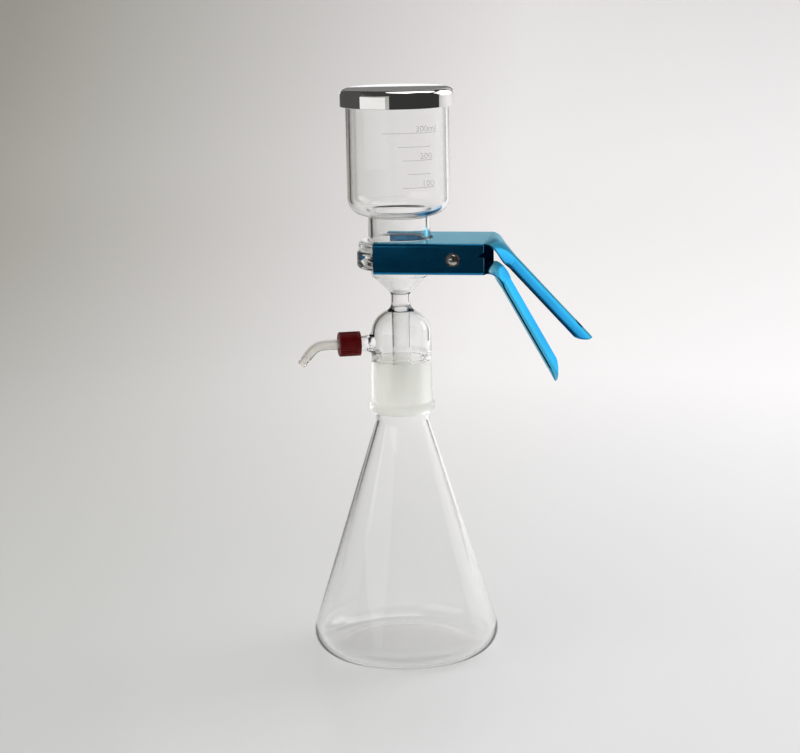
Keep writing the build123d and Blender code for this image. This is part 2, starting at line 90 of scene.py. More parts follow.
# name, start and end angle, low and high end and radius in metres, shade, in reflections, in glass
CARDS = [
    ("front_card", -6, 98, 0.0, 1.6, 0.45, 0.045, True, False),
    ("white_card", -69, -14, 0.28, 0.56, 0.98, 1.1, True, False),
    ("left_card", -150, -69, 0.33, 1.6, 1.0, 0.09, True, False),
    ("top_card", -190, -150, 0.51, 0.66, 1.0, 0.22, True, False),
    ("plate_card", -190, -150, 0.42, 0.51, 1.0, 1.15, True, False),
    ("low_card", -60, -6, 0.0, 0.3, 0.45, 0.015, True, False),
    ("left_edge_card", -138, -114, 0.0, 1.2, 1.2, 0.02, False, True),
    ("right_edge_card", 134, 152, 0.0, 1.2, 1.2, 0.03, False, True),
]
SHADE_RADIUS = 57.0            # the disc that stands in for the shadow of the flask's floor
SHADE_CLEARNESS = 0.75         # light that each wall of the flask lets through
SHADE_INSET = 1.0              # inside the flask's outline, and above its foot ring
SHADE_WALL = 0.5
WORLD_COLOR = (1.0, 0.98, 0.95, 1.0)
WORLD_STRENGTH = 0.06
LIGHT_AIM = (0, 0, 0.35)       # in metres
AREA_LIGHTS = [                # name, place, width and height in metres, watts, seen in reflections
    ("left_softbox", (-1.1, -0.95, 0.95), 1.7, 1.3, 7.0, False),
    ("right_window", (1.5, 1.2, 1.1), 1.7, 1.7, 16.0, True),
]
CEILING_STRENGTH = 1.1
CEILING_SPREAD = 50.0
CEILING_TILT = (-12.0, 14.0)   # about X and about Y

# ---- glass ---------------------------------------------------------------------------------------
HEEL_RADIUS = 16.0
CONE_HALF_ANGLE = 17.3
FLASK_WALL = 2.2
FLASK_FLOOR = 3.0
FOOT_RADIUS = 56.4             # inner edge of the ring that the flask stands on
FOOT_ROUNDING = 0.6
PUNT_HEIGHT = 1.2
PUNT_RADIUS = 46.4
PUNT_ROUNDING = 60.0
NECK_RADIUS = 21.6
NECK_SHOULDER = 14.0
NECK_STEP = 1.0                # the plain neck ends this far below the hood's bead
NECK_STEP_ROUNDING = 0.8
JOINT_WIDE = 22.5
JOINT_NARROW = 20.5
JOINT_LENGTH = 40.0
JOINT_GAP = 0.05
CONE_WALL = 2.6
CONE_SHOULDER_ROUNDING = 0.4
CONE_LIP = 2.0
LIP_ROUNDING = 1.0
BEAD_HEIGHT = 9.5
BEAD_DROP = 2.0
BEAD_INSET = 2.5               # the bead's two ends are this much narrower than its middle
BEAD_EDGE = 1.2
BEAD_SHOULDER = 0.3            # share of the bead's height from an end to its full width
BEAD_ROUNDING = 3.0
BEAD_NECK = 1.0                # height over which the bead runs into the socket's wall
SOCKET_RADIUS = 24.5
SOCKET_CHAMFER = 1.0
SOCKET_HEADROOM = 2.0          # between the flask's lip and the narrow end of the hood's bore
SOCKET_STEP = 3.0              # height over which the socket widens to the hood's bore
SOCKET_STEP_ROUNDING = 2.0
THROAT_ROUNDING = 0.8
HOOD_RADIUS = 24.1
HOOD_HEIGHT = 61.45
HOOD_WALL = 2.4
DOME_ARC = 21.0
COLLAR_RADIUS = 10.5
COLLAR_TAPER = 2.0
COLLAR_FOOT = 2.0              # height over which the collar runs into the stem
COLLAR_ROUNDING = 2.0
STEM_RADIUS = 7.8
STEM_BORE = 6.3
STEM_LENGTH = 11.5
DRIP_RADIUS = 7.4
DRIP_ROUNDING = 0.5
BOWL_RADIUS = 23.4
BOWL_WALL = 2.6
BOWL_HEIGHT = 21.4
BOWL_RISE = 15.5
BOWL_ROUNDING = 8.0
BOWL_FILLET = 1.5
STEM_ROUNDING = 3.0
FLANGE_ROUNDING = 2.8
FRIT_RADIUS = 20.6
FRIT_THICKNESS = 4.5
FRIT_LEDGE = 2.0
FUNNEL_FLANGE_RADIUS = 32.6
FUNNEL_FLANGE_HEIGHT = 7.6
FUNNEL_NECK_RADIUS = 24.7
FUNNEL_NECK_BORE = 21.4
FUNNEL_NECK_LENGTH = 20.1
FUNNEL_WALL = 2.85
FUNNEL_ROUNDING = 14.0
FACE_ROUNDING = 1.2            # outer edge of the funnel's sealing face
NECK_FILLET = 2.0
NECK_MOUTH = 4.0               # rounding where the cup runs into the neck's bore
RIM_ROUNDING = 0.9
LID_SHEET = 0.8
LID_ROUNDING = 5.0
LID_EDGE = 0.3
ARM_ANGLE = 200.0
ARM_ABOVE_JOINT = 55.2         # from the ground joint's wide end to the arm's axis
ARM_RIM = 44.8
ARM_RIM_ROUNDING = 0.5
ARM_RADIUS = 6.2
ARM_BORE = 4.8
ARM_FLARE = 4.0
ARM_FLARE_ROUNDING = 2.5
ROOT_DEPTH = 7.0               # the arm starts this far inside the hood's outside
FLARE_DEPTH = 3.0              # and its flare this far
ROOT_COVER = 0.3               # glass between the arm's root and the hood's bore
CAVITY_FOOT = 4.0              # the arm is cleared from this height above the socket's narrow end
BORE_DEPTH = 8.0               # the arm's bore starts this far inside the hood's outside
BORE_OVERRUN = 5.0
THREAD_RADIUS = 7.0
THREAD_PITCH = 2.5
THREAD_COUNT = 4
THREAD_START = 2.2
THREAD_FOOT = 0.36             # half width of a ridge's foot, as a share of the pitch
THREAD_CREST = 0.3             # width of its crest, as a share of its foot
THREAD_FOOT_ROUNDING = 0.2
THREAD_CREST_ROUNDING = 0.25

# ---- graduations and edges -----------------------------------------------------------------------
MARKS = [                      # height, left and right end across the front, label
    (425.5, -12.0, 30.0, "300ml"),
    (414.9, 0.0, 25.0, ""),
    (404.4, 3.5, 26.5, "200"),
    (393.8, 7.5, 25.0, ""),
    (383.2, 3.5, 28.0, "100"),
]
MARK_WIDTH = 0.55
MARK_PROUD = 0.06
LABEL_SIZE = 6.5
LABEL_GAP = 0.4
SHEET_BEVEL = 0.45
SMALL_BEVEL = 0.12
SOFT_BEVEL = 0.2
BEVEL_STEPS = 2
BEVEL_ANGLE = 40.0             # edges bent further than this are bevelled

CLEAR = 0                      # material slots of a glass piece
GROUND = 1


# ---- materials -----------------------------------------------------------------------------------
def new_material(name):
    mat = bpy.data.materials.new(name)
    mat.use_nodes = True
    tree = mat.node_tree
    shader = tree.nodes["Principled BSDF"]
    return mat, tree, shader


def add_noise(tree, scale, detail=3.0, stretch=(1.0, 1.0, 1.0)):
    """Noise in the object's own space, stretched along an axis where asked."""
    coords = tree.nodes.new("ShaderNodeTexCoord")
    mapping = tree.nodes.new("ShaderNodeMapping")
    mapping.inputs["Scale"].default_value = stretch
    noise = tree.nodes.new("ShaderNodeTexNoise")
    noise.inputs["Scale"].default_value = scale
    noise.inputs["Detail"].default_value = detail
    tree.links.new(coords.outputs["Object"], mapping.inputs["Vector"])
    tree.links.new(mapping.outputs["Vector"], noise.inputs["Vector"])
    return noise


def add_roughness(tree, shader, source, low, high):
    """Roughness that runs between low and high with a noise."""
    spread = tree.nodes.new("ShaderNodeMapRange")
    spread.inputs["From Min"].default_value = 0.3
    spread.inputs["From Max"].default_value = 0.7
    spread.inputs["To Min"].default_value = low
    spread.inputs["To Max"].default_value = high
    tree.links.new(source.outputs["Fac"], spread.inputs["Value"])
    tree.links.new(spread.outputs["Result"], shader.inputs["Roughness"])


def add_bump(tree, shader, source, strength, distance):
    bump = tree.nodes.new("ShaderNodeBump")
    bump.inputs["Strength"].default_value = strength
    bump.inputs["Distance"].default_value = distance
    tree.links.new(source.outputs["Fac"], bump.inputs["Height"])
    tree.links.new(bump.outputs["Normal"], shader.inputs["Normal"])


def add_tint(tree, shader, source, dark, light):
    ramp = tree.nodes.new("ShaderNodeValToRGB")
    ramp.color_ramp.elements[0].position = 0.35
    ramp.color_ramp.elements[0].color = (*dark, 1.0)
    ramp.color_ramp.elements[1].position = 0.65
    ramp.color_ramp.elements[1].color = (*light, 1.0)
    tree.links.new(source.outputs["Fac"], ramp.inputs["Fac"])
    tree.links.new(ramp.outputs["Color"], shader.inputs["Base Color"])


def clear_glass():
    """Blown glass with long, shallow waves in its surface."""
    mat, tree, shader = new_material("clear_glass")
    shader.inputs["Base Color"].default_value = (0.997, 0.998, 0.994, 1.0)
    shader.inputs["Roughness"].default_value = 0.0
    shader.inputs["IOR"].default_value = 1.474
    shader.inputs["Transmission Weight"].default_value = 1.0
    waves = add_noise(tree, 14.0, 1.0, (1.0, 1.0, 0.45))
    add_bump(tree, shader, waves, 0.12, 0.0004)
    return mat


def ground_glass():
    """Finely ground surface, milky where light passes."""
    mat, tree, shader = new_material("ground_glass")
    shader.inputs["IOR"].default_value = 1.2
    shader.inputs["Transmission Weight"].default_value = 0.85
    cloud = add_noise(tree, 60.0, 4.0)
    add_tint(tree, shader, cloud, (0.995, 0.995, 0.965), (1.0, 1.0, 0.98))
    grain = add_noise(tree, 2200.0, 2.0)
    add_roughness(tree, shader, grain, 0.6, 0.75)
    add_bump(tree, shader, grain, 0.25, 0.0001)
    return mat


def polished_steel():
    mat, tree, shader = new_material("polished_steel")
    shader.inputs["Metallic"].default_value = 1.0
    haze = add_noise(tree, 45.0, 4.0)
    add_tint(tree, shader, haze, (0.72, 0.71, 0.69), (0.78, 0.77, 0.75))
    add_roughness(tree, shader, haze, 0.02, 0.05)
    return mat


def blue_anodised():
    mat, tree, shader = new_material("blue_anodised")
    shader.inputs["Metallic"].default_value = 0.95
    shader.inputs["Specular Tint"].default_value = (0.42, 0.94, 1.0, 1.0)
    shader.inputs["Coat Weight"].default_value = 0.12
    shader.inputs["Coat Roughness"].default_value = 0.15
    grain = add_noise(tree, 900.0, 3.0, (0.15, 1.0, 1.0))
    cloud = add_noise(tree, 30.0, 4.0)
    add_tint(tree, shader, cloud, (0.007, 0.17, 0.37), (0.011, 0.21, 0.44))
    add_roughness(tree, shader, grain, 0.17, 0.25)
    add_bump(tree, shader, grain, 0.04, 0.00004)
    return mat


def rivet_steel():
    mat, tree, shader = new_material("rivet_steel")
    shader.inputs["Metallic"].default_value = 1.0
    worn = add_noise(tree, 700.0, 4.0)
    add_tint(tree, shader, worn, (0.42, 0.39, 0.36), (0.62, 0.60, 0.57))
    add_roughness(tree, shader, worn, 0.16, 0.32)
    return mat


def spring_steel():
    mat, tree, shader = new_material("spring_steel")
    shader.inputs["Metallic"].default_value = 1.0
    drawn = add_noise(tree, 1500.0, 2.0)
    add_tint(tree, shader, drawn, (0.35, 0.35, 0.36), (0.5, 0.5, 0.52))
    add_roughness(tree, shader, drawn, 0.25, 0.4)
    return mat


def red_plastic():
    mat, tree, shader = new_material("red_plastic")
    cloud = add_noise(tree, 160.0, 3.0)
    shader.inputs["Specular IOR Level"].default_value = 0.2
    add_tint(tree, shader, cloud, (0.13, 0.0015, 0.003), (0.18, 0.002, 0.005))
    add_roughness(tree, shader, cloud, 0.33, 0.45)
    moulded = add_noise(tree, 1200.0, 2.0)
    add_bump(tree, shader, moulded, 0.1, 0.00005)
    return mat


def white_plastic():
    """Milky, half translucent moulded plastic."""
    mat, tree, shader = new_material("white_plastic")
    shader.inputs["Transmission Weight"].default_value = 0.88
    shader.inputs["IOR"].default_value = 1.25
    cloud = add_noise(tree, 120.0, 3.0)
    add_tint(tree, shader, cloud, (0.97, 0.955, 0.91), (1.0, 0.985, 0.95))
    add_roughness(tree, shader, cloud, 0.28, 0.4)
    return mat


def silicone():
    mat, tree, shader = new_material("silicone")
    dust = add_noise(tree, 300.0, 3.0)
    add_tint(tree, shader, dust, (0.74, 0.72, 0.66), (0.82, 0.8, 0.75))
    add_roughness(tree, shader, dust, 0.5, 0.65)
    return mat


def sintered_glass():
    mat, tree, shader = new_material("sintered_glass")
    grain = add_noise(tree, 1600.0, 5.0)
    add_tint(tree, shader, grain, (0.78, 0.78, 0.76), (0.92, 0.92, 0.9))
    shader.inputs["Roughness"].default_value = 0.8
    add_bump(tree, shader, grain, 0.5, 0.0002)
    return mat


def membrane_white():
    mat, tree, shader = new_material("membrane_white")
    fibre = add_noise(tree, 2500.0, 4.0)
    add_tint(tree, shader, fibre, (0.88, 0.88, 0.86), (0.95, 0.95, 0.93))
    shader.inputs["Roughness"].default_value = 0.7
    add_bump(tree, shader, fibre, 0.2, 0.00005)
    return mat


def white_enamel():
    mat, tree, shader = new_material("white_enamel")
    speck = add_noise(tree, 1800.0, 4.0)
    add_tint(tree, shader, speck, (0.5, 0.5, 0.48), (0.6, 0.6, 0.58))
    shader.inputs["Alpha"].default_value = 0.55
    shader.inputs["Roughness"].default_value = 0.5
    return mat


# ---- mesh helpers --------------------------------------------------------------------------------
def rounded(corners):
    """Outline of (radius, height, rounding, material) corners as points with each corner rounded."""
    points = []
    count = len(corners)
    for i, (r, z, rounding, kind) in enumerate(corners):
        here = Vector((r, z))
        before = (Vector(corners[i - 1][:2]) - here).normalized()
        after = (Vector(corners[(i + 1) % count][:2]) - here).normalized()
        kind_before = corners[i - 1][3]
        if rounding <= 0:
            points.append((here, kind))
            continue
        opening = before.angle(after)
        reach = rounding / math.tan(opening / 2)
        middle = (before + after).normalized() * (rounding / math.sin(opening / 2)) + here
        start = here + before * reach - middle
        end = here + after * reach - middle
        turn = start.angle_signed(end)
        steps = max(2, round(abs(math.degrees(turn)) / ARC_STEP))
        for k in range(steps + 1):
            a = -turn * k / steps
            spot = Vector((start.x * math.cos(a) - start.y * math.sin(a),
                           start.x * math.sin(a) + start.y * math.cos(a)))
            points.append((middle + spot, kind if k == steps else kind_before))
    return points


def lathe(name, points, materials, segments=SEGMENTS, sharp=SHARP_ANGLE):
    """Closed outline of ((radius, height), material) turned about Z into one smooth mesh."""
    bm = bmesh.new()
    rings = []
    for (r, z), _ in points:
        if r < 1e-6:
            rings.append([bm.verts.new((0, 0, z * MM))])
            continue
        ring = []
        for s in range(segments):
            a = 2 * math.pi * s / segments
            ring.append(bm.verts.new((r * math.cos(a) * MM, r * math.sin(a) * MM, z * MM)))
        rings.append(ring)
    for i, (_, kind) in enumerate(points):
        low, high = rings[i], rings[(i + 1) % len(rings)]
        if len(low) == 1 and len(high) == 1:
            continue
        for s in range(segments):
            t = (s + 1) % segments
            if len(low) == 1:
                face = bm.faces.new((low[0], high[t], high[s]))
            elif len(high) == 1:
                face = bm.faces.new((low[s], low[t], high[0]))
            else:
                face = bm.faces.new((low[s], low[t], high[t], high[s]))
            face.material_index = kind
            face.smooth = True
    bmesh.ops.recalc_face_normals(bm, faces=bm.faces)
    return finish_mesh(name, bm, materials, sharp)


def finish_mesh(name, bm, materials, sharp):
    mesh = bpy.data.meshes.new(name)
    bm.to_mesh(mesh)
    bm.free()
    for mat in materials:
        mesh.materials.append(mat)
    mesh.set_sharp_from_angle(angle=math.radians(sharp))
    obj = bpy.data.objects.new(name, mesh)
    bpy.context.scene.collection.objects.link(obj)
    return obj


def boolean(target, tool, operation):
    """Apply a boolean with a tool that is then removed."""
    cut = target.modifiers.new(operation.lower(), "BOOLEAN")
    cut.object = tool
    cut.operation = operation
    cut.solver = "EXACT"
    evaluated = target.evaluated_get(bpy.context.evaluated_depsgraph_get())
    mesh = bpy.data.meshes.new_from_object(evaluated)
    target.modifiers.clear()
    target.data = mesh
    bpy.data.objects.remove(tool)


def put_on_arm(obj, arm_z):
    """Turn a piece made along +Z from the vessel's axis onto the side arm's axis."""
    lift = Matrix.Translation((0, 0, arm_z * MM))
    swing = Matrix.Rotation(math.radians(ARM_ANGLE), 4, "Z")
    lay_flat = Matrix.Rotation(math.radians(90), 4, "Y")
    obj.data.transform(lift @ swing @ lay_flat)


def heights(node):
    low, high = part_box(node)
    return low[2] / MM, high[2] / MM


def outer_radius(node):
    """How far a node reaches along +X, which is the radius of one turned about Z."""
    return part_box(node)[1][0] / MM


def mount(obj, body, slot, *nodes):
    """Make a piece ride on its body in place of the CAD nodes that it stands for."""
    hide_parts(*nodes)
    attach(obj, body)


# ---- glass pieces --------------------------------------------------------------------------------
def make_flask(materials):
    radius = outer_radius("flask")
    lip_z = heights("flask")[1]
    joint_top = lip_z - CONE_LIP
    joint_z = joint_top - JOINT_LENGTH
    tilt = math.radians(CONE_HALF_ANGLE)
    tangent_r = radius - HEEL_RADIUS + HEEL_RADIUS * math.cos(tilt)
    tangent_z = HEEL_RADIUS + HEEL_RADIUS * math.sin(tilt)
    cone_top = tangent_z + (tangent_r - NECK_RADIUS) / math.tan(tilt)
    corner_r = tangent_r + tangent_z * math.tan(tilt)
    inner_r = tangent_r + (tangent_z - FLASK_FLOOR) * math.tan(tilt) - FLASK_WALL / math.cos(tilt)
    corners = [
        (0, PUNT_HEIGHT, 0, CLEAR),
        (PUNT_RADIUS, PUNT_HEIGHT, PUNT_ROUNDING, CLEAR),
        (FOOT_RADIUS, 0, FOOT_ROUNDING, CLEAR),
        (corner_r, 0, HEEL_RADIUS, CLEAR),
        (NECK_RADIUS, cone_top, NECK_SHOULDER, CLEAR),
        (NECK_RADIUS, joint_z - BEAD_DROP - NECK_STEP, NECK_STEP_ROUNDING, CLEAR),
        (JOINT_WIDE, joint_z, CONE_SHOULDER_ROUNDING, GROUND),
        (JOINT_NARROW, joint_top, 0, CLEAR),
        (JOINT_NARROW, lip_z, LIP_ROUNDING, CLEAR),
        (JOINT_NARROW - CONE_WALL, lip_z, LIP_ROUNDING, CLEAR),
        (NECK_RADIUS - CONE_WALL, joint_z - BEAD_DROP, 0, CLEAR),
        (NECK_RADIUS - CONE_WALL, cone_top, NECK_SHOULDER, CLEAR),
        (inner_r, FLASK_FLOOR, HEEL_RADIUS - FLASK_WALL, CLEAR),
        (FOOT_RADIUS, FLASK_FLOOR, FOOT_ROUNDING, CLEAR),
        (PUNT_RADIUS, FLASK_FLOOR + PUNT_HEIGHT, PUNT_ROUNDING, CLEAR),
        (0, FLASK_FLOOR + PUNT_HEIGHT, 0, CLEAR),
    ]
    obj = lathe("flask_glass", rounded(corners), materials)
    obj.visible_shadow = False
    mount(obj, "flask", "clear_glass", "flask")


def dome_points(radius, arc, low_z, end_r, upward):
    """Dome arc between a vertical wall and the radius end_r, as plain outline points."""
    centre = radius - arc
    end = math.acos((end_r - centre) / arc)
    points = []
    for k in range(DOME_STEPS + 1):
        share = k / DOME_STEPS
        a = end * (share if upward else 1 - share)
        points.append((centre + arc * math.cos(a), low_z + arc * math.sin(a), 0, CLEAR))
    return points


def make_base(materials):
    foot_z, stem_z = heights("hood")
    face_z = heights("support_head")[1]
    drip_z = heights("drip_tube")[0]
    joint_z = foot_z + BEAD_DROP
    joint_top = joint_z + JOINT_LENGTH
    bead_radius = outer_radius("hood")
    flange_radius = outer_radius("support_head")
    dome_z = joint_z + HOOD_HEIGHT
    throat_z = joint_top + CONE_LIP + SOCKET_HEADROOM
    bowl_z = stem_z + STEM_LENGTH
    flange_z = bowl_z + BOWL_HEIGHT
    frit_z = face_z - FRIT_THICKNESS
    inner_radius = BOWL_RADIUS - BOWL_WALL
    bowl_slope = BOWL_RISE / (BOWL_RADIUS - STEM_RADIUS)
    bowl_floor = bowl_z + BOWL_WALL * math.hypot(1, bowl_slope) - bowl_slope * (STEM_RADIUS - STEM_BORE)
    bowl_top = bowl_floor + bowl_slope * (inner_radius - STEM_BORE)
    hood_bore = HOOD_RADIUS - HOOD_WALL
    bead_end = bead_radius - BEAD_INSET
    bead_top = foot_z + BEAD_HEIGHT + BEAD_NECK
    ground_share = (joint_top - bead_top) / (dome_z - bead_top)
    corners = [
        (JOINT_WIDE + JOINT_GAP + SOCKET_CHAMFER, foot_z, 0, GROUND),
        (bead_end, foot_z, BEAD_EDGE, GROUND),
        (bead_radius, foot_z + BEAD_HEIGHT * BEAD_SHOULDER, BEAD_ROUNDING, GROUND),
        (bead_radius, foot_z + BEAD_HEIGHT * (1 - BEAD_SHOULDER), BEAD_ROUNDING, GROUND),
        (bead_end, foot_z + BEAD_HEIGHT, BEAD_EDGE, GROUND),
        (SOCKET_RADIUS, bead_top, 0, GROUND),
        (SOCKET_RADIUS + (HOOD_RADIUS - SOCKET_RADIUS) * ground_share, joint_top, 0, CLEAR),
    ]
    corners += dome_points(HOOD_RADIUS, DOME_ARC, dome_z, COLLAR_RADIUS, True)
    corners += [
        (COLLAR_RADIUS - COLLAR_TAPER, stem_z, COLLAR_ROUNDING, CLEAR),
        (STEM_RADIUS, stem_z + COLLAR_FOOT, COLLAR_ROUNDING, CLEAR),
        (STEM_RADIUS, bowl_z, STEM_ROUNDING, CLEAR),
        (BOWL_RADIUS, bowl_z + BOWL_RISE, BOWL_ROUNDING, CLEAR),
        (BOWL_RADIUS, flange_z, BOWL_FILLET, CLEAR),
        (flange_radius, flange_z, FLANGE_ROUNDING, CLEAR),
        (flange_radius, face_z, FLANGE_ROUNDING, GROUND),
        (FRIT_RADIUS, face_z, 0, CLEAR),
        (FRIT_RADIUS, frit_z, 0, CLEAR),
        (FRIT_RADIUS - FRIT_LEDGE, frit_z, 0, CLEAR),
        (FRIT_RADIUS - FRIT_LEDGE, frit_z - FRIT_LEDGE, 0, CLEAR),
        (inner_radius, frit_z - 2 * FRIT_LEDGE, BOWL_FILLET, CLEAR),
        (inner_radius, bowl_top, BOWL_ROUNDING - BOWL_WALL, CLEAR),
        (STEM_BORE, bowl_floor, STEM_ROUNDING, CLEAR),
        (STEM_BORE, drip_z, DRIP_ROUNDING, CLEAR),
        (DRIP_RADIUS, drip_z, DRIP_ROUNDING, CLEAR),
    ]
    corners += dome_points(hood_bore, DOME_ARC - HOOD_WALL, dome_z, DRIP_RADIUS, False)
    corners += [
        (hood_bore, throat_z + SOCKET_STEP, SOCKET_STEP_ROUNDING, CLEAR),
        (JOINT_NARROW + JOINT_GAP, throat_z, THROAT_ROUNDING, CLEAR),
        (JOINT_NARROW + JOINT_GAP, joint_top, 0, GROUND),
        (JOINT_WIDE + JOINT_GAP, joint_z, 0, CLEAR),
    ]
    obj = lathe("base_glass", rounded(corners), materials)
    arm_z = joint_z + ARM_ABOVE_JOINT
    arm = side_arm_solid()
    put_on_arm(arm, arm_z)
    cavity_radius = hood_bore + ROOT_COVER
    cavity_foot = throat_z + CAVITY_FOOT
    dome = dome_points(cavity_radius, DOME_ARC - HOOD_WALL, dome_z, DRIP_RADIUS, True)
    dome_top = dome[-1][1]
    cavity = [(0, cavity_foot, 0, CLEAR), (cavity_radius, cavity_foot, 0, CLEAR)]
    cavity += dome + [(0, dome_top, 0, CLEAR)]
    boolean(arm, lathe("cavity", rounded(cavity), materials), "DIFFERENCE")
    boolean(obj, arm, "UNION")
    bore_corners = [
        (0, HOOD_RADIUS - BORE_DEPTH, 0, CLEAR),
        (ARM_BORE, HOOD_RADIUS - BORE_DEPTH, 0, CLEAR),
        (ARM_BORE, ARM_RIM + BORE_OVERRUN, 0, CLEAR),
        (0, ARM_RIM + BORE_OVERRUN, 0, CLEAR),
    ]
    bore = lathe("bore", rounded(bore_corners), materials, ARM_SEGMENTS)
    put_on_arm(bore, arm_z)
    boolean(obj, bore, "DIFFERENCE")
    obj.data.set_sharp_from_angle(angle=math.radians(SHARP_ANGLE))
    obj.visible_shadow = False
    mount(obj, "filter_head", "clear_glass", "hood", "drip_tube", "support_head", "side_arm")


def side_arm_solid():
    corners = [
        (0, HOOD_RADIUS - ROOT_DEPTH, 0, CLEAR),
        (ARM_RADIUS + ARM_FLARE, HOOD_RADIUS - ROOT_DEPTH, 0, CLEAR),
        (ARM_RADIUS + ARM_FLARE, HOOD_RADIUS - FLARE_DEPTH, 0, CLEAR),
        (ARM_RADIUS, HOOD_RADIUS + ARM_FLARE, ARM_FLARE_ROUNDING, CLEAR),
    ]
    foot = THREAD_PITCH * THREAD_FOOT
    crest = foot * THREAD_CREST
    for i in reversed(range(THREAD_COUNT)):
        middle = ARM_RIM - THREAD_START - i * THREAD_PITCH
        corners.append((ARM_RADIUS, middle - foot, THREAD_FOOT_ROUNDING, CLEAR))
        corners.append((THREAD_RADIUS, middle - crest, THREAD_CREST_ROUNDING, CLEAR))
        corners.append((THREAD_RADIUS, middle + crest, THREAD_CREST_ROUNDING, CLEAR))
        corners.append((ARM_RADIUS, middle + foot, THREAD_FOOT_ROUNDING, CLEAR))
    corners.append((ARM_RADIUS, ARM_RIM, ARM_RIM_ROUNDING, CLEAR))
    corners.append((0, ARM_RIM, 0, CLEAR))
    return lathe("arm", rounded(corners), [], ARM_SEGMENTS)


def make_funnel(materials):
    radius = outer_radius("funnel")
    low_z, rim_z = heights("funnel")
    flange_top = low_z + FUNNEL_FLANGE_HEIGHT
    cup_z = flange_top + FUNNEL_NECK_LENGTH
    inner = radius - FUNNEL_WALL
    corners = [
        (FUNNEL_NECK_BORE, low_z, 0, GROUND),
        (FUNNEL_FLANGE_RADIUS, low_z, FACE_ROUNDING, CLEAR),
        (FUNNEL_FLANGE_RADIUS, flange_top, FLANGE_ROUNDING, CLEAR),
        (FUNNEL_NECK_RADIUS, flange_top, NECK_FILLET, CLEAR),
        (FUNNEL_NECK_RADIUS, cup_z, NECK_FILLET, CLEAR),
        (radius, cup_z, FUNNEL_ROUNDING, CLEAR),
        (radius, rim_z, RIM_ROUNDING, CLEAR),
        (inner, rim_z, RIM_ROUNDING, CLEAR),
        (inner, cup_z + FUNNEL_WALL, FUNNEL_ROUNDING - FUNNEL_WALL, CLEAR),
        (FUNNEL_NECK_BORE, cup_z + FUNNEL_WALL, NECK_MOUTH, CLEAR),
    ]
    obj = lathe("funnel_glass", rounded(corners), materials)
    obj.visible_shadow = False
    mount(obj, "filter_head", "clear_glass", "funnel")


def make_lid(material):
    radius = outer_radius("lid")
    low_z, top_z = heights("lid")
    corners = [
        (0, top_z, 0, 0),
        (radius, top_z, LID_ROUNDING, 0),
        (radius, low_z, LID_EDGE, 0),
        (radius - LID_SHEET, low_z, LID_EDGE, 0),
        (radius - LID_SHEET, top_z - LID_SHEET, LID_ROUNDING - LID_SHEET, 0),
        (0, top_z - LID_SHEET, 0, 0),
    ]
    obj = lathe("lid_steel", rounded(corners), [material])
    mount(obj, "lid", "polished_steel", "lid")


# ---- graduations ---------------------------------------------------------------------------------
def on_funnel(across, z, radius):
    """Point on the funnel's wall, across from the line that faces the camera."""
    turn = math.radians(CAMERA_YAW) + math.asin(across / radius)
    return Vector((math.sin(turn) * radius * MM, -math.cos(turn) * radius * MM, z * MM))


def make_marks(material):
    radius = outer_radius("funnel") + MARK_PROUD
    bm = bmesh.new()
    for z, left, right, _ in MARKS:
        lower, upper = [], []
        for k in range(STRIP_STEPS + 1):
            across = left + (right - left) * k / STRIP_STEPS
            lower.append(bm.verts.new(on_funnel(across, z - MARK_WIDTH / 2, radius)))
            upper.append(bm.verts.new(on_funnel(across, z + MARK_WIDTH / 2, radius)))
        for k in range(STRIP_STEPS):
            bm.faces.new((lower[k], lower[k + 1], upper[k + 1], upper[k]))
    marks = finish_mesh("graduation_lines", bm, [material], STRIP_SHARP_ANGLE)
    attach(marks, "filter_head")
    for z, _, right, text in MARKS:
        if text:
            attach(make_label(text, z, right, radius, material), "filter_head")


def make_label(text, z, right, radius, material):
    curve = bpy.data.curves.new("label_" + text, "FONT")
    curve.body = text
    curve.size = LABEL_SIZE
    curve.align_x = "RIGHT"
    source = bpy.data.objects.new("label_source", curve)
    bpy.context.scene.collection.objects.link(source)
    bpy.context.view_layer.update()
    evaluated = source.evaluated_get(bpy.context.evaluated_depsgraph_get())
    mesh = bpy.data.meshes.new_from_object(evaluated)
    bpy.data.objects.remove(source)
    for vert in mesh.vertices:
        vert.co = on_funnel(right + vert.co.x, z + MARK_WIDTH + LABEL_GAP + vert.co.y, radius)
    mesh.materials.clear()
    mesh.materials.append(material)
    label = bpy.data.objects.new("label_" + text, mesh)
    bpy.context.scene.collection.objects.link(label)
    return label


# ---- carried-over CAD nodes ----------------------------------------------------------------------
def dress(node, material, bevel=0.0):
    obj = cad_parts[node]
    obj.data.materials.clear()
    obj.data.materials.append(material)
    if bevel > 0:
        edge = obj.modifiers.new("edges", "BEVEL")
        edge.width = bevel * MM
        edge.segments = BEVEL_STEPS
        edge.limit_method = "ANGLE"
        edge.angle_limit = math.radians(BEVEL_ANGLE)


